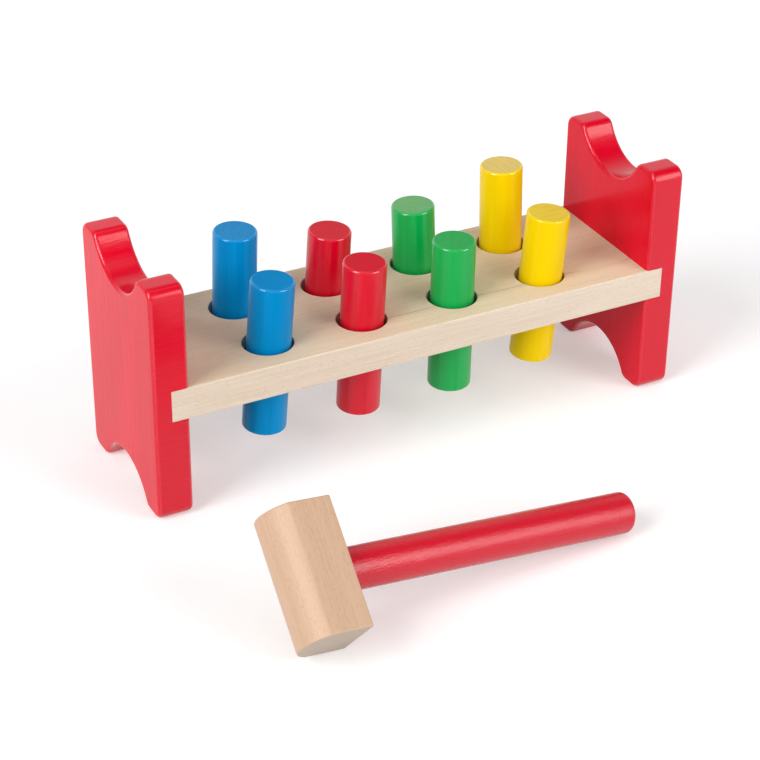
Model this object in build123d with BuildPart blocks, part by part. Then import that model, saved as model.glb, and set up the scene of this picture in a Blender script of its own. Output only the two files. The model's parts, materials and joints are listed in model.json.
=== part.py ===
from build123d import *
from math import acos, atan2, cos, degrees, hypot, radians, sin
import os

# Peg pounding bench with its mallet, in millimetres.
# X runs along the bench, Y away from the player and Z up from the table.
# The origin is on the table, under the middle of the bench and mallet together.

# Bench
bench_length = 290.0
bench_width = 83.2
bench_height = 125.0
bench_setback = 73.8  # from the origin back to the middle of the bench

# End panels, the same at the top and the bottom, so the bench can be turned over
panel_thickness = 18.0
panel_edge_round = 2.0
scoop_radius = 28.0
scoop_depth = 16.5
horn_outer_round = 6.0
horn_inner_round = 5.2
housing_depth = 9.1

# Board
board_thickness = 17.0
board_edge_round = 0.7

# Holes, in columns along the board and two rows across it
hole_diameter = 25.3
hole_column_pitch = 50.8
hole_row_pitch = 39.2
hole_edge_round = 0.5
hole_columns = 4

# Pegs
peg_diameter = 22.0
peg_length = 81.0
peg_edge_round = 1.2
peg_table_clearance = 1.0  # between a peg that is driven home and the table
lean_heading = -27.0  # degrees about Z, from +X, of the way that the tops lean

# Rubber ring in a groove round the inside of each hole, which grips the peg
ring_section = 3.4
ring_peg_clearance = 0.08
ring_groove_clearance = 0.1

# Mallet
head_length = 62.5
head_thickness = 31.6
head_depth = 30.0
head_flat = 21.0  # flat part of the two broad faces, from the handle's side
head_edge_round = 0.8
head_crease_round = 2.0
handle_diameter = 20.2
handle_reach = 159.4  # handle outside the head
handle_end_round = 2.6
socket_depth = 20.0
socket_glue_gap = 0.05

# Where the mallet lies: its head is rolled about the handle, and one lower edge of
# the head and the handle's far end touch the table
mallet_x = -106.5
mallet_y = -80.7
mallet_yaw = 3.0
mallet_roll = 39.0

# Lean in degrees and height of each peg, as photographed.
# The height is a share of the way from the middle of its travel to its upper end.
front_leans = {"blue": 3.9, "red": 2.2, "green": 0.5, "yellow": 4.2}
back_leans = {"blue": 1.8, "red": 3.0, "green": -2.0, "yellow": -1.3}
front_peg_shares = {"blue": 0.10, "red": -0.02, "green": -0.02, "yellow": 0.16}
back_peg_shares = {"blue": 0.49, "red": -0.05, "green": 0.07, "yellow": 0.60}
colours = ["blue", "red", "green", "yellow"]
rows = {
    "front": (-hole_row_pitch / 2, front_leans, front_peg_shares),
    "back": (hole_row_pitch / 2, back_leans, back_peg_shares),
}

# Worked out from the sizes above
board_height = bench_height / 2
board_length = bench_length - 2 * (panel_thickness - housing_depth)
board_plane = Plane((0, bench_setback, board_height))
peg_travel = (bench_height - peg_length) / 2 - peg_table_clearance
groove_radius = peg_diameter / 2 + ring_peg_clearance + ring_section + ring_groove_clearance
groove_height = ring_section + 2 * ring_groove_clearance

os.makedirs("parts", exist_ok=True)


def keep(piece, name):
    piece.label = name
    export_step(piece, f"parts/{name}.step")
    print(f"{name}: {piece.volume / CM**3:.2f} cm3")


def hole_spot(column, row_offset):
    # Middle of one hole, on the board's own plane
    x = (column - (hole_columns - 1) / 2) * hole_column_pitch
    return (x, row_offset)


def hole_plane(column, row_offset):
    return Plane(board_plane.from_local_coords((*hole_spot(column, row_offset), 0)))


def end_panel(name, side):
    # Sketched on the bench's end face and given its thickness inwards
    outer_face = Plane(
        origin=(side * bench_length / 2, bench_setback, board_height),
        x_dir=(0, -side, 0),
        z_dir=(-side, 0, 0),
    )
    scoop_centre = bench_height / 2 - scoop_depth + scoop_radius
    with BuildPart() as panel:
        with BuildSketch(outer_face) as outline:
            Rectangle(bench_width, bench_height)
            with Locations((0, scoop_centre), (0, -scoop_centre)):
                Circle(scoop_radius, mode=Mode.SUBTRACT)
            fillet(outline.vertices().group_by(Axis.X)[1:-1], horn_inner_round)
            fillet(outline.vertices().group_by(SortBy.DISTANCE)[-1], horn_outer_round)
        extrude(amount=panel_thickness)
        fillet(panel.faces().filter_by(Axis.X).edges(), panel_edge_round)
        with BuildSketch(outer_face.offset(panel_thickness)):
            Rectangle(bench_width, board_thickness)
        extrude(amount=-housing_depth, mode=Mode.SUBTRACT)
    keep(panel.part, name)


def bench_board():
    spots = [hole_spot(column, row[0]) for column in range(hole_columns) for row in rows.values()]
    with BuildPart(board_plane) as board:
        Box(board_length, bench_width, board_thickness)
        fillet(board.edges().filter_by(Axis.X), board_edge_round)
        with Locations(spots):
            Hole(hole_diameter / 2)
        rims = board.edges().filter_by(GeomType.CIRCLE)
        fillet(rims, hole_edge_round)
        with Locations(spots):
            Cylinder(groove_radius, groove_height, mode=Mode.SUBTRACT)
    keep(board.part, "bench_board")


def grip_ring(name, middle):
    # A round-section ring that lies in the groove and grips the peg
    ring_radius = peg_diameter / 2 + ring_peg_clearance + ring_section / 2
    with BuildPart() as ring:
        with BuildSketch(Plane(middle.origin, x_dir=(1, 0, 0), z_dir=(0, -1, 0))):
            with Locations((ring_radius, 0)):
                Circle(ring_section / 2)
        revolve(axis=Axis(middle.origin, (0, 0, 1)))
    keep(ring.part, name)


def peg(name, middle, lean, height_share):
    heading = Vector(1, 0, 0).rotate(Axis.Z, lean_heading)
    way = Vector(0, 0, 1) * cos(radians(lean)) + heading * sin(radians(lean))
    lift = height_share * peg_travel
    foot = Plane(middle.origin + way * (lift - peg_length / 2), z_dir=way)
    with BuildPart() as dowel:
        with BuildSketch(foot):
            Circle(peg_diameter / 2)
        extrude(amount=peg_length)
        fillet(dowel.edges().filter_by(GeomType.CIRCLE), peg_edge_round)
    keep(dowel.part, name)
    travel = (-peg_travel - lift, peg_travel - lift)
    print(f"  axis {tuple(round(v, 5) for v in way)} travel {travel[0]:.2f} to {travel[1]:.2f}")


def mallet_plane():
    # The slope puts the head's lower edge and the handle's rounded end on the table
    roll = radians(mallet_roll)
    edge_drop = (head_length / 2 - head_edge_round) * sin(roll)
    edge_drop += (head_thickness / 2 - head_edge_round) * cos(roll)
    rise = edge_drop - (handle_diameter / 2 - handle_end_round)
    run = handle_reach - handle_end_round + head_edge_round
    slope = acos((handle_end_round - head_edge_round) / hypot(rise, run)) - atan2(run, rise)
    height = edge_drop * cos(slope) + head_edge_round * (1 - sin(slope))
    turn = (mallet_roll, degrees(slope), mallet_yaw)
    print(f"mallet slope {degrees(slope):.2f} degrees, handle {height:.2f} mm up at the head")
    return Plane(Location((mallet_x, mallet_y, height), turn, Extrinsic.XYZ))


def mallet_head(seat):
    # Seen along its length: a flat on the handle's side, two flat faces and a rounded far side
    section = Plane(
        seat.origin - seat.y_dir * head_length / 2, x_dir=-seat.x_dir, z_dir=seat.y_dir
    )
    with BuildPart() as head:
        with BuildSketch(section) as profile:
            with BuildLine():
                Polyline(
                    (head_flat, head_thickness / 2),
                    (0, head_thickness / 2),
                    (0, -head_thickness / 2),
                    (head_flat, -head_thickness / 2),
                )
                ThreePointArc(
                    (head_flat, -head_thickness / 2), (head_depth, 0), (head_flat, head_thickness / 2)
                )
            make_face()
            fillet(profile.vertices().group_by(Axis.X)[-1], head_crease_round)
        extrude(amount=head_length)
        ends = head.faces().filter_by(Axis(seat.origin, seat.y_dir))
        long_edges = head.edges().filter_by(Axis(seat.origin, seat.y_dir))
        handle_side = long_edges.sort_by(Axis(seat.origin, seat.x_dir))[-2:]
        fillet(ends.edges() + handle_side, head_edge_round)
        with BuildSketch(Plane(seat.origin, x_dir=seat.y_dir, z_dir=seat.x_dir)):
            Circle(handle_diameter / 2 + socket_glue_gap)
        extrude(amount=-socket_depth, mode=Mode.SUBTRACT)
    keep(head.part, "mallet_head")


def mallet_handle(seat):
    inner_end = Plane(seat.origin - seat.x_dir * socket_depth, x_dir=seat.y_dir, z_dir=seat.x_dir)
    with BuildPart() as handle:
        with BuildSketch(inner_end):
            Circle(handle_diameter / 2)
        extrude(amount=socket_depth + handle_reach)
        far_rim = handle.edges().sort_by(Axis(inner_end.origin, inner_end.z_dir))[-1]
        fillet(far_rim, handle_end_round)
    keep(handle.part, "mallet_handle")


end_panel("left_end_panel", -1)
end_panel("right_end_panel", 1)
bench_board()
for row, (row_offset, leans, peg_shares) in rows.items():
    for column, colour in enumerate(colours):
        middle = hole_plane(column, row_offset)
        grip_ring(f"{colour}_ring_{row}", middle)
        peg(f"{colour}_peg_{row}", middle, leans[colour], peg_shares[colour])
mallet_seat = mallet_plane()
mallet_head(mallet_seat)
mallet_handle(mallet_seat)
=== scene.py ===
import json
from math import asin, atan2, cos, degrees, radians, sin, sqrt

import bmesh
import bpy
from mathutils import Euler, Matrix, Vector


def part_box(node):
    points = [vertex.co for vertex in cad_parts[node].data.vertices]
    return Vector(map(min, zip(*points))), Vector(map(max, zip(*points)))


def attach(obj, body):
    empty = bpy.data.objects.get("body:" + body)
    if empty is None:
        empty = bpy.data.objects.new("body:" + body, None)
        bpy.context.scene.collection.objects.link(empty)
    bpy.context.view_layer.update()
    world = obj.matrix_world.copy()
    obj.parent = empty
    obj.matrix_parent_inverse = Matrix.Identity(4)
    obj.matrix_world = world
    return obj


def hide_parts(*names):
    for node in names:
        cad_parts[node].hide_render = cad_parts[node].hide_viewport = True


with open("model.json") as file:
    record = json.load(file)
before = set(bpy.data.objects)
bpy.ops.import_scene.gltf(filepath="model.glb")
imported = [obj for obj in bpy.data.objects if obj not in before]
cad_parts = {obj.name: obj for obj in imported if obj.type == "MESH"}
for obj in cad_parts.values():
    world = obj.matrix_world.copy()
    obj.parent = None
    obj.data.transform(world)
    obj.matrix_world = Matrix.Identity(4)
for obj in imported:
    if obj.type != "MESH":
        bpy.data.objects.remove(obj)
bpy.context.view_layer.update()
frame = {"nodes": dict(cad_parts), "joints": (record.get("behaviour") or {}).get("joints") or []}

# Lengths are in metres and angles in degrees. A span is the two values of a pattern, or of a
# face's lean, between which something grows from none to full.
tiny = 0.00001  # closer than this counts as the same place
roundBelow = 32  # an edge that turns less than this is shaded as part of a round
alongX, alongY, alongZ = (1, 0, 0), (0, 1, 0), (0, 0, 1)
white = (1, 1, 1, 1)
pegColours = ["blue", "red", "green", "yellow"]
rowNames = ["front", "back"]


def middleOf(node):
    low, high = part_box(node)
    return (low + high) / 2


def sizeOf(node):
    low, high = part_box(node)
    return high - low


# Hand tools

def deselectAll():
    if bpy.context.mode != "OBJECT":
        bpy.ops.object.mode_set(mode="OBJECT")
    bpy.ops.object.select_all(action="DESELECT")


def takeInHand(piece, mode="OBJECT"):
    # only this piece is selected, and it is the active one
    deselectAll()
    piece.select_set(True)
    bpy.context.view_layer.objects.active = piece
    bpy.ops.object.mode_set(mode=mode)


def nameIt(name):
    piece = bpy.context.object
    piece.name = name
    piece.data.name = name
    return piece


def pick(piece, kind, test):
    # in edit mode, selects the edges or faces whose middle passes the test
    bpy.ops.mesh.select_mode(type=kind)
    bpy.ops.mesh.select_all(action="DESELECT")
    shape = bmesh.from_edit_mesh(piece.data)
    for item in {"EDGE": shape.edges, "FACE": shape.faces}[kind]:
        middle = sum((corner.co for corner in item.verts), Vector()) / len(item.verts)
        if test(middle):
            item.select_set(True)
    shape.select_flush_mode()
    bmesh.update_edit_mesh(piece.data)


def startOutline(name, start):
    # one vertex, ready to be drawn out into an outline
    deselectAll()
    bpy.ops.mesh.primitive_plane_add()
    piece = nameIt(name)
    bpy.ops.object.mode_set(mode="EDIT")
    bpy.ops.mesh.select_mode(type="VERT")
    bpy.ops.mesh.select_all(action="SELECT")
    bpy.ops.mesh.merge(type="CENTER")
    bpy.ops.transform.translate(value=start)
    return piece


def drawLine(step):
    # draws out what is selected: a point into a line, a line or a face into a wall
    bpy.ops.mesh.extrude_region_move(TRANSFORM_OT_translate={"value": step})


def drawArc(centre, axis, turn, steps):
    # the turn is right-handed about the axis; spin counts the other way
    bpy.ops.mesh.spin(steps=steps, angle=-radians(turn), center=centre, axis=axis)


def fillOutline(step):
    # in edit mode, fills a closed outline and draws the face out by the step
    bpy.ops.mesh.select_all(action="SELECT")
    bpy.ops.mesh.edge_face_add()
    drawLine(step)
    mergeAndFaceOut()


def mergeAndFaceOut():
    bpy.ops.mesh.select_all(action="SELECT")
    bpy.ops.mesh.remove_doubles(threshold=tiny)
    bpy.ops.mesh.normals_make_consistent(inside=False)


def roundEdges(radius, steps, **settings):
    # on the edges that are picked
    bpy.ops.mesh.bevel(offset=radius, segments=steps, affect="EDGES", **settings)


def applyModifier(piece, kind, **settings):
    takeInHand(piece)
    modifier = piece.modifiers.new(kind.lower(), kind)
    for name, value in settings.items():
        setattr(modifier, name, value)
    bpy.ops.object.modifier_apply(modifier=modifier.name)


def mirrorIt(piece, axes):
    # about its own middle, along each axis that is True; afterwards it is in edit mode
    applyModifier(piece, "MIRROR", use_axis=axes, merge_threshold=tiny)
    bpy.ops.object.mode_set(mode="EDIT")


def cutAway(piece, cutter):
    applyModifier(piece, "BOOLEAN", operation="DIFFERENCE", solver="EXACT", object=cutter)
    bpy.data.objects.remove(cutter)


def block(name, low, high):
    deselectAll()
    bpy.ops.mesh.primitive_cube_add(size=1, location=(low + high) / 2, scale=high - low)
    piece = nameIt(name)
    bpy.ops.object.transform_apply(location=True, rotation=True, scale=True)
    return piece


def copyOf(piece, name):
    takeInHand(piece)
    bpy.ops.object.duplicate(linked=False)
    return nameIt(name)


def setDown(piece, place, turn=(0, 0, 0)):
    # moves the piece, with its turn in radians, and puts its new place into its mesh
    takeInHand(piece)
    piece.location = place
    piece.rotation_euler = turn
    bpy.ops.object.transform_apply(location=True, rotation=True, scale=True)


def smoothOff(piece, angle=roundBelow):
    # soft shading on the rounds, with the flats kept flat
    takeInHand(piece)
    bpy.ops.object.shade_smooth_by_angle(angle=radians(angle))
    applyModifier(piece, "WEIGHTED_NORMAL", keep_sharp=True)


def wear(piece, material):
    # this material and no other
    piece.data.materials.clear()
    piece.data.materials.append(material)


def fit(piece, node, body):
    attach(piece, body)
    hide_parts(node)


# Shader maths

class Wire:
    # one value inside a material: a sum on it adds a Math node, and node() adds any other
    def __init__(self, tree, socket=None):
        self.tree = tree
        self.socket = socket

    def node(self, kind, settings=None, inputs=None, output=0):
        made = self.tree.nodes.new("ShaderNode" + kind)
        for name, value in (settings or {}).items():
            setattr(made, name, value)
        for name, value in (inputs or {}).items():
            if isinstance(value, Wire):
                self.tree.links.new(value.socket, made.inputs[name])
            else:
                made.inputs[name].default_value = value
        return Wire(self.tree, made.outputs[output] if made.outputs else None)

    def maths(self, operation, *values):
        return self.node("Math", {"operation": operation}, dict(enumerate(values)))

    def vector(self, operation, other, output=0):
        return self.node("VectorMath", {"operation": operation}, {0: self, 1: other}, output)

    def __add__(self, other):
        return self.maths("ADD", self, other)

    def __sub__(self, other):
        return self.maths("SUBTRACT", self, other)

    def __rsub__(self, other):
        return self.maths("SUBTRACT", other, self)

    def __mul__(self, other):
        return self.maths("MULTIPLY", self, other)

    __radd__ = __add__
    __rmul__ = __mul__

    def size(self):
        return self.maths("ABSOLUTE", self)

    def part(self, axis):
        return self.node("SeparateXYZ", {}, {0: self}, output=axis)

    def ease(self, start, end):
        # 0 at start, 1 at end, and smooth between them
        inputs = {"Value": self, "From Min": start, "From Max": end}
        return self.node("MapRange", {"interpolation_type": "SMOOTHSTEP"}, inputs)

    def noise(self, lumps, detail=2.0, bend=0.0):
        # lumps per metre along each axis
        inputs = {"Vector": self.vector("MULTIPLY", lumps), "Scale": 1.0}
        return self.node("TexNoise", {}, {**inputs, "Detail": detail, "Distortion": bend})

    def turned(self, axis, angle):
        turn = tuple(radians(angle) * share for share in axis)
        return self.node("Mapping", {}, {"Vector": self, "Rotation": turn})

    def blend(self, first, second, way="MIX"):
        # from the first colour to the second, or to both multiplied, by this value
        settings = {"data_type": "RGBA", "blend_type": way}
        return self.node("Mix", settings, {0: self, 6: first, 7: second}, output=2)

    def mixShaders(self, first, second):
        return self.node("MixShader", {}, {0: self, 1: first, 2: second})


def linear(value):
    # the usual screen curve, from a swatch value of 0 to 255
    share = value / 255
    if share <= 0.04045:
        return share / 12.92
    return ((share + 0.055) / 1.055) ** 2.4


def tone(red, green, blue):
    return (linear(red), linear(green), linear(blue), 1)


def shade(colour, share):
    return tuple(value * share for value in colour[:3]) + (1,)


def startMaterial(name):
    material = bpy.data.materials.new(name)
    material.use_nodes = True
    material.node_tree.nodes.clear()
    return material, Wire(material.node_tree)


def ownSense(wire, place, turn):
    # places and normals as the piece itself counts them, from its own middle and along its own axes
    coordinates = wire.node("TexCoord", output="Object")
    normals = wire.node("TexCoord", output="Normal")
    settings = {"vector_type": "TEXTURE"}
    at = wire.node("Mapping", settings, {"Vector": coordinates, "Location": place, "Rotation": turn})
    facing = wire.node("Mapping", settings, {"Vector": normals, "Rotation": turn})
    return at, facing


# What a finish has where it doesn't say otherwise. Spread draws its gleams out lengthways.
plainFinish = {"gleam": white, "coat": 0.0, "coatRoughness": 0.1, "spread": 0.0, "spreadTurn": 0.25}


def coatOver(wire, finish, colour, grain, height):
    # the shader itself: the grain makes it rougher in places, and the height stands out as relief
    finish = {**plainFinish, **finish}
    roughness = grain * finish["roughSwing"] + finish["roughness"]
    bump = wire.node("Bump", {}, {"Distance": finish["relief"], "Height": height})
    inputs = {"Base Color": colour, "Roughness": roughness, "Normal": bump, "IOR": finish["ior"]}
    inputs["Specular IOR Level"] = finish["sheen"]
    inputs["Specular Tint"] = finish["gleam"]
    inputs["Coat Weight"] = finish["coat"]
    inputs["Coat Roughness"] = finish["coatRoughness"]
    inputs["Anisotropic"] = finish["spread"]
    inputs["Anisotropic Rotation"] = finish["spreadTurn"]
    return wire.node("BsdfPrincipled", {}, inputs)


def showOn(wire, shader):
    wire.node("OutputMaterial", {}, {"Surface": shader})


# Paint, as on the pegs, the handle and the panels

paint = {
    "red": {"tone": tone(214, 0, 37), "deep": 0.88, "coat": 0.18, "gleam": white},
    "blue": {"tone": tone(0, 135, 200), "deep": 0.92, "coat": 0.03, "gleam": (0.05, 0.8, 1, 1)},
    "green": {"tone": tone(0, 168, 75), "deep": 0.9, "coat": 0.14, "gleam": white},
    "yellow": {"tone": tone(240, 203, 0), "deep": 0.97, "coat": 0.03, "gleam": (1, 0.9, 0.15, 1)},
    "handleRed": {"tone": tone(207, 0, 35), "deep": 0.9, "coat": 0.0, "gleam": white},
    "endWood": tone(214, 203, 182),  # shows through thin paint on a cap; the same pale tone also stands in for a painted reflection there
    "relief": 0.00003,
    "ior": 1.5,
    "sheen": 0.32,
    "roughness": 0.24,  # at the least; the grain adds up to roughSwing
    "roughSwing": 0.1,
    "spread": 0.9,
    "coatRoughness": 0.05,
    "rimCoat": 0.95,  # more coat on the rounded rim
    "rimSpan": (0.15, 0.4),
    "grainSpan": (0.25, 0.65),
    "capSpan": (0.985, 0.998),
    "capGrain": {"lumps": (90, 950, 20), "detail": 3.0, "bend": 0.4},
    "capGrainSpan": (0.3, 0.65),
    "capContrast": 1.3,
    "capShades": (0.83, 0.92),
    "capFinish": {"sheen": 0.3, "roughness": 0.7, "spread": 0.0, "coat": 0.0},
}


def dowelPaint(name, hue, place, turn, grain, capTurn, capThinAndReflection=0.0, finish=paint):
    # long grain on the sides; on the caps the paint is dull, and paler towards bare end wood: partly
    # thin paint, partly a painted reflection
    material, wire = startMaterial(name)
    at, facing = ownSense(wire, place, turn)
    upward = facing.part(2).size()
    cap = upward.ease(*paint["capSpan"])
    rim = upward.ease(*paint["rimSpan"])
    across = at.turned(alongZ, capTurn).noise(**paint["capGrain"])
    capStreaks = across * paint["capContrast"] + (1 - paint["capContrast"]) / 2
    streaks = cap * capStreaks + (1 - cap) * at.noise(**grain)
    full = paint[hue]["tone"]
    sideColour = streaks.ease(*paint["grainSpan"]).blend(shade(full, paint[hue]["deep"]), full)
    # paler caps: partly thin paint, partly a painted reflection
    thinnedAndReflecting = tuple(a * (1 - capThinAndReflection) + b * capThinAndReflection for a, b in zip(full, paint["endWood"]))
    deep, pale = (shade(thinnedAndReflecting, share) for share in paint["capShades"])
    capColour = across.ease(*paint["capGrainSpan"]).blend(deep, pale)
    colour = cap.blend(sideColour, capColour)
    finish = {**finish, "gleam": paint[hue]["gleam"]}
    sideFinish = {**finish, "coat": rim * finish["rimCoat"] + paint[hue]["coat"]}
    capFinish = {**finish, **finish["capFinish"]}
    onSide = coatOver(wire, sideFinish, colour, streaks, streaks)
    onCap = coatOver(wire, capFinish, colour, streaks, streaks)
    showOn(wire, cap.mixShaders(onSide, onCap))
    return material


# Unpainted wood, as on the board and the mallet's head

wood = {
    "relief": 0.00002,
    "ior": 1.5,
    "roughSwing": 0.12,
    "fibres": {"lumps": (26, 1100, 1100), "detail": 3.0},
    "clouds": {"lumps": (5, 60, 60)},
    "cloudShare": 0.4,
    "strandSpan": (0.3, 0.66),
    "flecks": {"lumps": (450, 2000, 2000), "detail": 1.0},
    "fleckSpan": (0.57, 0.7),
    "fleckShade": 0.84,
    "fleckDepth": 0.5,
    "fleckRelief": 0.4,
    "endLines": {"lumps": (40, 1100, 70)},
    "endTurn": 38,
    "endSpan": (0.3, 0.62),
    "endContrast": 0.05,
    "faceSpan": (0.7, 0.95),
    "lineShade": 0.72,
    "lineDepth": 0.95,
    "lineSpan": (0.0001, 0.0007),
    "lineSlant": 0.15,
    "lineSway": {"lumps": (14, 3, 3)},
    "swayWidth": 0.006,
    "lineGaps": {"lumps": (22, 5, 5), "detail": 1.0},
    "gapSpan": (0.42, 0.58),
}


def growthLine(at, own):
    # a thin line along the piece, which sways, comes and goes, and fades out towards one end
    sway = (at.noise(**wood["lineSway"]) - 0.5) * wood["swayWidth"]
    away = (at.part(1) - own["lineAt"] + at.part(2) * wood["lineSlant"] + sway).size()
    shown = at.noise(**wood["lineGaps"]).ease(*wood["gapSpan"]) * at.part(0).ease(*own["lineFade"])
    return (1 - away.ease(*wood["lineSpan"])) * shown * wood["lineDepth"]


def bareWood(name, place, turn, own):
    # fine fibres along the piece, short flecks, one darker growth line and slanted end grain
    material, wire = startMaterial(name)
    at, facing = ownSense(wire, place, turn)
    endFace = facing.part(0).size().ease(*wood["faceSpan"])
    topFace = facing.part(2).size().ease(*wood["faceSpan"])
    fibres = at.noise(**wood["fibres"])
    strands = fibres * (1 - wood["cloudShare"]) + at.noise(**wood["clouds"]) * wood["cloudShare"]
    flecks = at.noise(**wood["flecks"]).ease(*wood["fleckSpan"])
    endLines = at.turned(alongX, wood["endTurn"]).noise(**wood["endLines"])
    brown, endTone = own["brown"], own["endTone"]
    colour = strands.ease(*wood["strandSpan"]).blend(brown, own["pale"])
    colour = (flecks * wood["fleckDepth"]).blend(colour, shade(brown, wood["fleckShade"]))
    colour = growthLine(at, own).blend(colour, shade(brown, wood["lineShade"]))
    # painted light: the upward and downward faces are tinted warmer and less blue
    colour = topFace.blend(colour, own["topLightTint"], "MULTIPLY")
    endColour = endLines.ease(*wood["endSpan"]).blend(shade(endTone, 1 - wood["endContrast"]), endTone)
    colour = endFace.blend(colour, endColour)
    relief = fibres - flecks * wood["fleckRelief"]
    showOn(wire, coatOver(wire, {**wood, **own["finish"]}, colour, fibres, relief))
    return material


# End panels

endPanel = {
    "scoopRadius": 0.028,
    "scoopDepth": 0.0165,
    "scoopSteps": 16,
    "hornInnerRound": 0.0052,
    "hornInnerSteps": 8,
    "hornOuterRound": 0.006,
    "hornOuterSteps": 10,
    "edgeRound": 0.002,
    "edgeSteps": 5,
    "housingDepth": 0.0091,
    "overrun": 0.005,  # how far the cutter stands out of the panel
    "uprightGrain": {"lumps": (60, 900, 14)},
    "crossMarks": {"lumps": (45, 1300, 1400)},
    "crossTurn": 3,
    "grainSpan": (0.29, 0.71),
    "patches": {"lumps": (18, 40, 12), "detail": 1.0},
    "patchShare": 0.6,
    "shadeSpan": (0.25, 0.75),
    # The deep and the full tone of each panel. The left one is lighter: painted light, standing in for
    # the lamp on that side.
    "litShades": {"left": (0.90, 1.06), "right": (0.92, 0.99)},
    "broadSpan": (0.5, 0.9),
    "faceFinish": {"sheen": 0.12, "roughness": 0.1, "relief": 0.00003, "coat": 0.06},
    "edgeFinish": {"sheen": 0.36, "roughness": 0.16, "relief": 0.00002, "coat": 0.12,
                   "coatRoughness": 0.06},
    "roughSwing": 0.08,
    "roundCoat": 0.5,  # more coat on the rounded edges, between these two spans
    "roundInSpan": (0.15, 0.4),
    "roundOutSpan": (0.88, 0.99),
}


def panelPaint(name, place, litShades):
    # upright grain on the broad faces, and the cross marks of sanding on the edges
    material, wire = startMaterial(name)
    at, facing = ownSense(wire, place, (0, 0, 0))
    sideways = facing.part(0).size()
    broadFace = sideways.ease(*endPanel["broadSpan"])
    rounded = sideways.ease(*endPanel["roundInSpan"]) * (1 - sideways.ease(*endPanel["roundOutSpan"]))
    upright = at.noise(**endPanel["uprightGrain"])
    crossways = at.turned(alongY, endPanel["crossTurn"]).noise(**endPanel["crossMarks"])
    patches = at.noise(**endPanel["patches"])
    patchShare = endPanel["patchShare"]
    grain = (broadFace * upright + (1 - broadFace) * crossways).ease(*endPanel["grainSpan"])
    depth = (grain * (1 - patchShare) + patches * patchShare).ease(*endPanel["shadeSpan"])
    # painted light: the left panel's tones are lighter than the right one's
    deep, full = (shade(paint["red"]["tone"], share) for share in litShades)
    colour = depth.blend(deep, full)
    shared = {**paint, "spread": 0.0, "roughSwing": endPanel["roughSwing"]}
    face, edge = ({**shared, **endPanel[key]} for key in ("faceFinish", "edgeFinish"))
    moreCoat = rounded * endPanel["roundCoat"]
    onFace = coatOver(wire, {**face, "coat": moreCoat + face["coat"]}, colour, grain, grain)
    onEdge = coatOver(wire, {**edge, "coat": moreCoat + edge["coat"]}, colour, grain, grain)
    showOn(wire, broadFace.mixShaders(onEdge, onFace))
    return material


def makePanel():
    # a quarter of the outline is drawn from the bottom of the scoop, and mirrored twice
    thick, width, height = sizeOf("left_end_panel")
    scoop, inner, outer = (endPanel[key] for key in ("scoopRadius", "hornInnerRound", "hornOuterRound"))
    scoopMiddle = height / 2 - endPanel["scoopDepth"] + scoop
    innerDrop = scoopMiddle - height / 2 + inner
    innerAcross = sqrt((scoop + inner) ** 2 - innerDrop ** 2)
    sweep = degrees(atan2(innerAcross, innerDrop))
    side = -thick / 2
    panel = startOutline("panelShape", (side, 0, scoopMiddle - scoop))
    drawArc((side, 0, scoopMiddle), alongX, sweep, endPanel["scoopSteps"])
    drawArc((side, innerAcross, height / 2 - inner), alongX, -sweep, endPanel["hornInnerSteps"])
    drawLine((0, width / 2 - outer - innerAcross, 0))
    drawArc((side, width / 2 - outer, height / 2 - outer), alongX, -90, endPanel["hornOuterSteps"])
    drawLine((0, 0, outer - height / 2))
    mirrorIt(panel, (False, True, True))
    fillOutline((thick, 0, 0))
    pick(panel, "EDGE", lambda at: abs(abs(at.x) - thick / 2) < tiny)
    roundEdges(endPanel["edgeRound"], endPanel["edgeSteps"], clamp_overlap=False)
    boardThick = sizeOf("bench_board").z
    over = endPanel["overrun"]
    low = Vector((thick / 2 - endPanel["housingDepth"], -width / 2 - over, -boardThick / 2))
    high = Vector((thick / 2 + over, width / 2 + over, boardThick / 2))
    cutAway(panel, block("housingCutter", low, high))
    return panel


panelShape = makePanel()
for side, turn in {"left": 0, "right": 180}.items():
    node = side + "_end_panel"
    panel = copyOf(panelShape, side + "_panel_painted")
    setDown(panel, middleOf(node), (0, 0, radians(turn)))
    smoothOff(panel)
    wear(panel, panelPaint(side + "_panel_red", middleOf(node), endPanel["litShades"][side]))
    fit(panel, node, "bench")
bpy.data.objects.remove(panelShape)
print("end panels made")


# Board

board = {
    "edgeRound": 0.0007,
    "edgeSteps": 4,
    "holeDiameter": 0.0253,
    "holeSides": 96,
    "holeEdgeRound": 0.0005,
    "holeEdgeSteps": 4,
    "grooveRadius": 0.01458,
    "grooveHeight": 0.0036,
    "overrun": 0.004,  # how far a cutter stands out of the board
    "pale": tone(226, 211, 193),
    "brown": tone(216, 199, 178),
    "endTone": tone(196, 178, 158),
    # painted light on the upward and downward faces: warmer and less blue, like the red light bounced
    # off the pegs
    "topLightTint": (1.03, 0.98, 0.87, 1),
    "lineAt": -0.0235,  # across the board from its middle, less is nearer to the player
    "lineFade": (-0.07, -0.01),
    "finish": {"sheen": 0.15, "roughness": 0.5},
}


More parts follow.
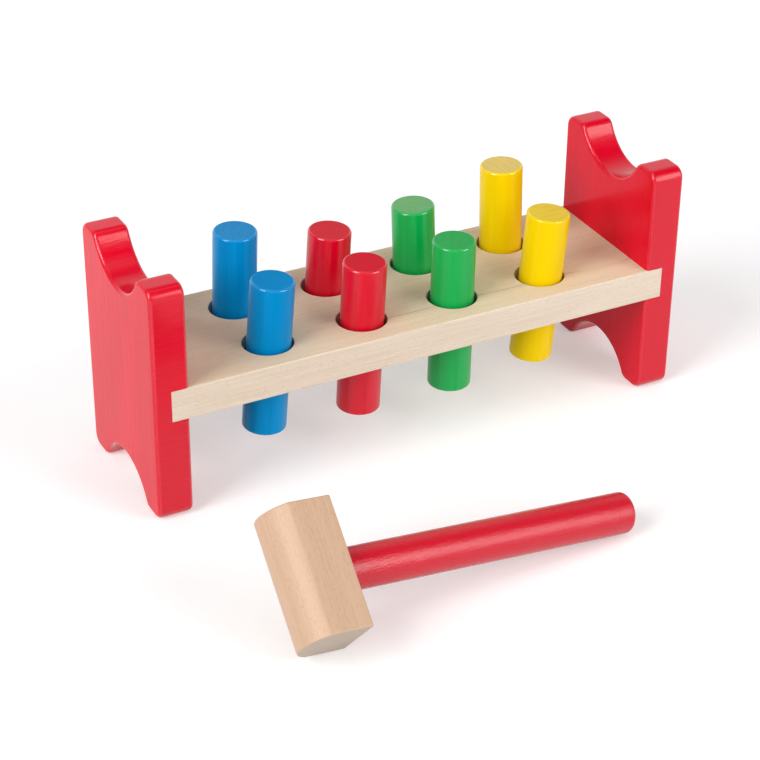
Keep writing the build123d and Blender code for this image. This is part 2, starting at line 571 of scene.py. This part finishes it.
def holeCutter(place):
    # half the section of a hole with eased rims and the ring's groove, spun round its axis
    reach = sizeOf("bench_board").z / 2
    radius = board["holeDiameter"] / 2
    ease = board["holeEdgeRound"]
    groove, grooveOut = board["grooveHeight"], board["grooveRadius"] - radius
    cutter = startOutline("holeCutter", (0, 0, reach + board["overrun"]))
    drawLine((radius + ease, 0, 0))
    drawLine((0, 0, -board["overrun"]))
    drawArc((radius + ease, 0, reach - ease), alongY, -90, board["holeEdgeSteps"])
    drawLine((0, 0, groove / 2 - reach + ease))
    drawLine((grooveOut, 0, 0))
    drawLine((0, 0, -groove / 2))
    mirrorIt(cutter, (False, False, True))
    bpy.ops.mesh.select_all(action="SELECT")
    drawArc((0, 0, 0), alongZ, 360, board["holeSides"])
    mergeAndFaceOut()
    setDown(cutter, place)
    return cutter


def makeBoard():
    low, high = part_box("bench_board")
    piece = block("board_wood", low, high)
    takeInHand(piece, "EDIT")
    middle = (low.x + high.x) / 2
    pick(piece, "EDGE", lambda at: abs(at.x - middle) < tiny)
    roundEdges(board["edgeRound"], board["edgeSteps"])
    for row in rowNames:
        for colour in pegColours:
            cutAway(piece, holeCutter(middleOf(f"{colour}_ring_{row}")))
    smoothOff(piece)
    return piece


boardPiece = makeBoard()
wear(boardPiece, bareWood("board_bare_wood", middleOf("bench_board"), (0, 0, 0), board))
fit(boardPiece, "bench_board", "bench")
print("board made")


# Pegs

peg = {
    "diameter": 0.022,
    "length": 0.081,
    "sides": 96,
    "edgeRound": 0.0012,
    "edgeSteps": 6,
    "capInset": 0.0006,
    "grain": {"lumps": (420, 420, 16)},
    "capTurns": (35, 47, 90),  # the first cap's grain, and how much more for each column and row
    # how far each cap pales towards bare end wood: partly thin paint, partly a painted reflection that
    # is stronger on the back row
    "capThinAndReflection": {"front": {"blue": 0.0, "red": 0.0, "green": 0.04, "yellow": 0.12},
                "back": {"blue": 0.04, "red": 0.03, "green": 0.25, "yellow": 0.38}},
}


def makePeg():
    deselectAll()
    length, half = peg["length"], peg["length"] / 2
    bpy.ops.mesh.primitive_cylinder_add(vertices=peg["sides"], radius=peg["diameter"] / 2, depth=length)
    piece = nameIt("pegShape")
    takeInHand(piece, "EDIT")
    pick(piece, "EDGE", lambda at: abs(abs(at.z) - half) < tiny)
    roundEdges(peg["edgeRound"], peg["edgeSteps"])
    pick(piece, "FACE", lambda at: abs(abs(at.z) - half) < tiny and at.xy.length < tiny)
    bpy.ops.mesh.inset(thickness=peg["capInset"], use_individual=True)
    return piece


jointAxes = {joint["child"]: Vector(joint["axis"]) for joint in frame["joints"]}
pegShape = makePeg()
firstTurn, columnTurn, rowTurn = peg["capTurns"]
for rowNumber, row in enumerate(rowNames):
    for column, colour in enumerate(pegColours):
        node = f"{colour}_peg_{row}"
        place = middleOf(node)
        lean = Vector(alongZ).rotation_difference(jointAxes[node]).to_euler()
        piece = copyOf(pegShape, f"{colour}_dowel_{row}")
        setDown(piece, place, lean)
        smoothOff(piece)
        capTurn = firstTurn + columnTurn * column + rowTurn * rowNumber
        capThinAndReflection = peg["capThinAndReflection"][row][colour]
        material = f"{colour}_paint_{row}"
        wear(piece, dowelPaint(material, colour, place, lean, peg["grain"], capTurn, capThinAndReflection))
        fit(piece, node, node)
bpy.data.objects.remove(pegShape)
print("pegs made")


# Grip rings, which stay the frame's own solids

gripRing = {
    "pale": tone(46, 42, 40),
    "dark": tone(26, 24, 22),
    "speckle": {"lumps": (900, 900, 900)},
    "finish": {"relief": 0.00005, "ior": 1.45, "sheen": 0.5, "roughness": 0.55, "roughSwing": 0.2},
}


def ringRubber():
    # dull black rubber with a fine moulded grain
    material, wire = startMaterial("ring_rubber")
    speckle = wire.node("TexCoord", output="Object").noise(**gripRing["speckle"])
    colour = speckle.blend(gripRing["dark"], gripRing["pale"])
    showOn(wire, coatOver(wire, gripRing["finish"], colour, speckle, speckle))
    return material


rubber = ringRubber()
for node, solid in frame["nodes"].items():
    if "_ring_" in node:
        wear(solid, rubber)
print("rings given their rubber")


# Mallet

mallet = {
    "place": (-0.1065, -0.0807, 0.03123),  # where the handle's axis leaves the head
    "turn": (39.0, 7.77, 3.0),  # rolled about the handle, sloped and swung
    "headLength": 0.0625,
    "headThick": 0.0316,
    "headDepth": 0.030,
    "headFlat": 0.021,
    "headRoundSteps": 18,
    "headEdgeRound": 0.0008,
    "headEdgeSteps": 4,
    "headRoundBelow": 24,
    "creaseRound": 0.002,
    "creaseSteps": 5,
    "handleDiameter": 0.0202,
    "handleSides": 96,
    "handleReach": 0.1594,
    "handleEndRound": 0.0026,
    "handleEndSteps": 8,
    "socketDepth": 0.020,
    "socketGap": 0.00005,
    "overrun": 0.004,  # how far the cutter stands out of the head
    "capInset": 0.0006,
    "pale": tone(204, 168, 139),
    "brown": tone(194, 157, 127),
    "endTone": tone(184, 166, 149),
    "topLightTint": white,
    "lineAt": 0.010,
    "lineFade": (-0.2, -0.1),
    "finish": {"sheen": 0.5, "roughness": 0.4},
    "handleGrain": {"lumps": (1250, 1250, 1000)},
    "handleFinish": {"sheen": 0.52, "roughness": 0.11, "relief": 0.00025, "spread": 0.0, "rimCoat": 0.3},
    "capTurn": 20,
}


def rodAlongX(name, start, end, diameter):
    deselectAll()
    bpy.ops.mesh.primitive_cylinder_add(
        vertices=mallet["handleSides"], radius=diameter / 2, depth=end - start,
        location=((start + end) / 2, 0, 0), rotation=(0, radians(90), 0),
    )
    piece = nameIt(name)
    bpy.ops.object.transform_apply(location=True, rotation=True, scale=True)
    return piece


def makeHead():
    # half the section is drawn along the head's middle, mirrored, filled and drawn out to the far end
    half, flat = mallet["headThick"] / 2, mallet["headFlat"]
    rise = mallet["headDepth"] - flat
    big = (half ** 2 + rise ** 2) / (2 * rise)
    bigMiddle = mallet["headDepth"] - big
    small = mallet["creaseRound"]
    smallMiddle = bigMiddle + sqrt((big - small) ** 2 - (half - small) ** 2)
    sweep = degrees(asin((smallMiddle - bigMiddle) / (big - small)))
    front = mallet["headLength"] / 2
    head = startOutline("mallet_head_wood", (0, -front, 0))
    drawLine((0, 0, half))
    drawLine((-smallMiddle, 0, 0))
    drawArc((-smallMiddle, -front, half - small), alongY, -sweep, mallet["creaseSteps"])
    drawArc((-bigMiddle, -front, 0), alongY, sweep - 90, mallet["headRoundSteps"])
    mirrorIt(head, (False, False, True))
    fillOutline((0, 2 * front, 0))

    def onRim(at):
        # the edges of both ends, and the two long ones on the handle's side
        return abs(abs(at.y) - front) < tiny or (at.x > -tiny and abs(abs(at.z) - half) < tiny)

    pick(head, "EDGE", onRim)
    roundEdges(mallet["headEdgeRound"], mallet["headEdgeSteps"])
    bore = mallet["handleDiameter"] + 2 * mallet["socketGap"]
    cutAway(head, rodAlongX("boreCutter", -mallet["socketDepth"], mallet["overrun"], bore))
    return head


def makeHandle():
    reach = mallet["handleReach"]
    handle = rodAlongX("mallet_handle_painted", -mallet["socketDepth"], reach, mallet["handleDiameter"])
    takeInHand(handle, "EDIT")
    pick(handle, "EDGE", lambda at: abs(at.x - reach) < tiny)
    roundEdges(mallet["handleEndRound"], mallet["handleEndSteps"])
    pick(handle, "FACE", lambda at: abs(at.x - reach) < tiny)
    bpy.ops.mesh.inset(thickness=mallet["capInset"])
    return handle


malletTurn = Euler([radians(angle) for angle in mallet["turn"]])
turnOfLength = malletTurn.to_matrix() @ Matrix.Rotation(radians(90), 3, "Z")
turnOfHandle = malletTurn.to_matrix() @ Matrix.Rotation(radians(90), 3, "Y")
alongHead, alongHandle = turnOfLength.to_euler(), turnOfHandle.to_euler()
head = makeHead()
setDown(head, mallet["place"], malletTurn)
smoothOff(head, mallet["headRoundBelow"])
wear(head, bareWood("mallet_bare_wood", mallet["place"], alongHead, mallet))
fit(head, "mallet_head", "mallet")
handle = makeHandle()
setDown(handle, mallet["place"], malletTurn)
smoothOff(handle)
handlePaint = {**paint, **mallet["handleFinish"]}
wear(handle, dowelPaint("handle_red", "handleRed", mallet["place"], alongHandle, mallet["handleGrain"],
                        mallet["capTurn"], finish=handlePaint))
fit(handle, "mallet_handle", "mallet")
print("mallet made")


# Studio

studio = {
    "cameraPlace": (-0.48017, -0.82437, 0.62934),
    "azimuth": -27.935,
    "elevation": 32.687,
    "roll": 0.606,
    "lens": 109.451,
    "shiftUp": 0.0921,
    "nearest": 0.05,
    "farthest": 50,
    "floorSize": 24.0,
    "floorColour": (0.78, 0.78, 0.78, 1),
    "floorGlow": 0.3,
    "fillLevel": 0.38,
    "sideFills": {
        "front": {"way": (-0.469, -0.883, 0.0), "span": (-0.2, 0.5), "level": 0.24},
        "back": {"way": (0.30, 0.954, 0.0), "span": (0.3, 0.95), "level": 0.56},
    },
    "ceilingSpan": (0.74, 0.88),
    "topFill": {"span": (0.90, 0.96), "level": 0.9},
    "lampAim": (0, 0.03, 0.06),
    "lampDistance": 4.0,
    "lamps": {
        "leftBox": {"azimuth": -75, "elevation": 32, "width": 1.8, "height": 3.3, "watts": 121},
        "rightBox": {"azimuth": 35, "elevation": 25, "width": 2.0, "height": 2.5, "watts": 76},
    },
}


def setCamera():
    data = bpy.data.cameras.new("camera")
    data.lens = studio["lens"]
    data.shift_y = studio["shiftUp"]
    data.clip_start = studio["nearest"]
    data.clip_end = studio["farthest"]
    camera = bpy.data.objects.new("camera", data)
    bpy.context.scene.collection.objects.link(camera)
    camera.matrix_world = (
        Matrix.Translation(studio["cameraPlace"])
        @ Matrix.Rotation(radians(studio["azimuth"]), 4, "Z")
        @ Matrix.Rotation(radians(90 - studio["elevation"]), 4, "X")
        @ Matrix.Rotation(radians(studio["roll"]), 4, "Z")
    )
    bpy.context.scene.camera = camera


def layFloor():
    # pale paper, which glows a little for the camera and in what gloss and glass show
    deselectAll()
    bpy.ops.mesh.primitive_plane_add(size=studio["floorSize"])
    floor = nameIt("floor")
    material, wire = startMaterial("floor_paper")
    kinds = ("Camera", "Glossy", "Transmission")
    rays = [wire.node("LightPath", output=f"Is {kind} Ray") for kind in kinds]
    seen = sum(rays[1:], rays[0])
    paper = wire.node("BsdfDiffuse", {}, {"Color": studio["floorColour"]})
    glow = wire.node("Emission", {}, {"Strength": seen * studio["floorGlow"]})
    showOn(wire, wire.node("AddShader", {}, {0: paper, 1: glow}))
    wear(floor, material)


def lightWorld():
    # an even fill that is stronger in front and behind, under a dark ceiling with one bright
    # patch overhead
    world = bpy.data.worlds.new("studio")
    bpy.context.scene.world = world
    world.use_nodes = True
    world.node_tree.nodes.clear()
    wire = Wire(world.node_tree)
    way = wire.node("TexCoord", output="Generated")
    height = way.part(2)
    fill = studio["fillLevel"]
    for side in studio["sideFills"].values():
        towards = way.vector("DOT_PRODUCT", side["way"], output=1)
        fill = fill + towards.ease(*side["span"]) * side["level"]
    top = studio["topFill"]
    fill = fill * (1 - height.ease(*studio["ceilingSpan"])) + height.ease(*top["span"]) * top["level"]
    background = wire.node("Background", {}, {"Color": white, "Strength": fill})
    wire.node("OutputWorld", {}, {"Surface": background})


def hangLamps():
    for name, lamp in studio["lamps"].items():
        data = bpy.data.lights.new(name, "AREA")
        data.shape = "RECTANGLE"
        data.size = lamp["width"]
        data.size_y = lamp["height"]
        data.energy = lamp["watts"]
        turn, rise = radians(lamp["azimuth"]), radians(lamp["elevation"])
        back = Vector((sin(turn) * cos(rise), -cos(turn) * cos(rise), sin(rise)))
        thing = bpy.data.objects.new(name, data)
        bpy.context.scene.collection.objects.link(thing)
        thing.location = Vector(studio["lampAim"]) + back * studio["lampDistance"]
        thing.rotation_euler = back.to_track_quat("Z", "Y").to_euler()


setCamera()
layFloor()
lightWorld()
hangLamps()
bpy.context.scene.view_settings.view_transform = "Standard"
print("studio set")
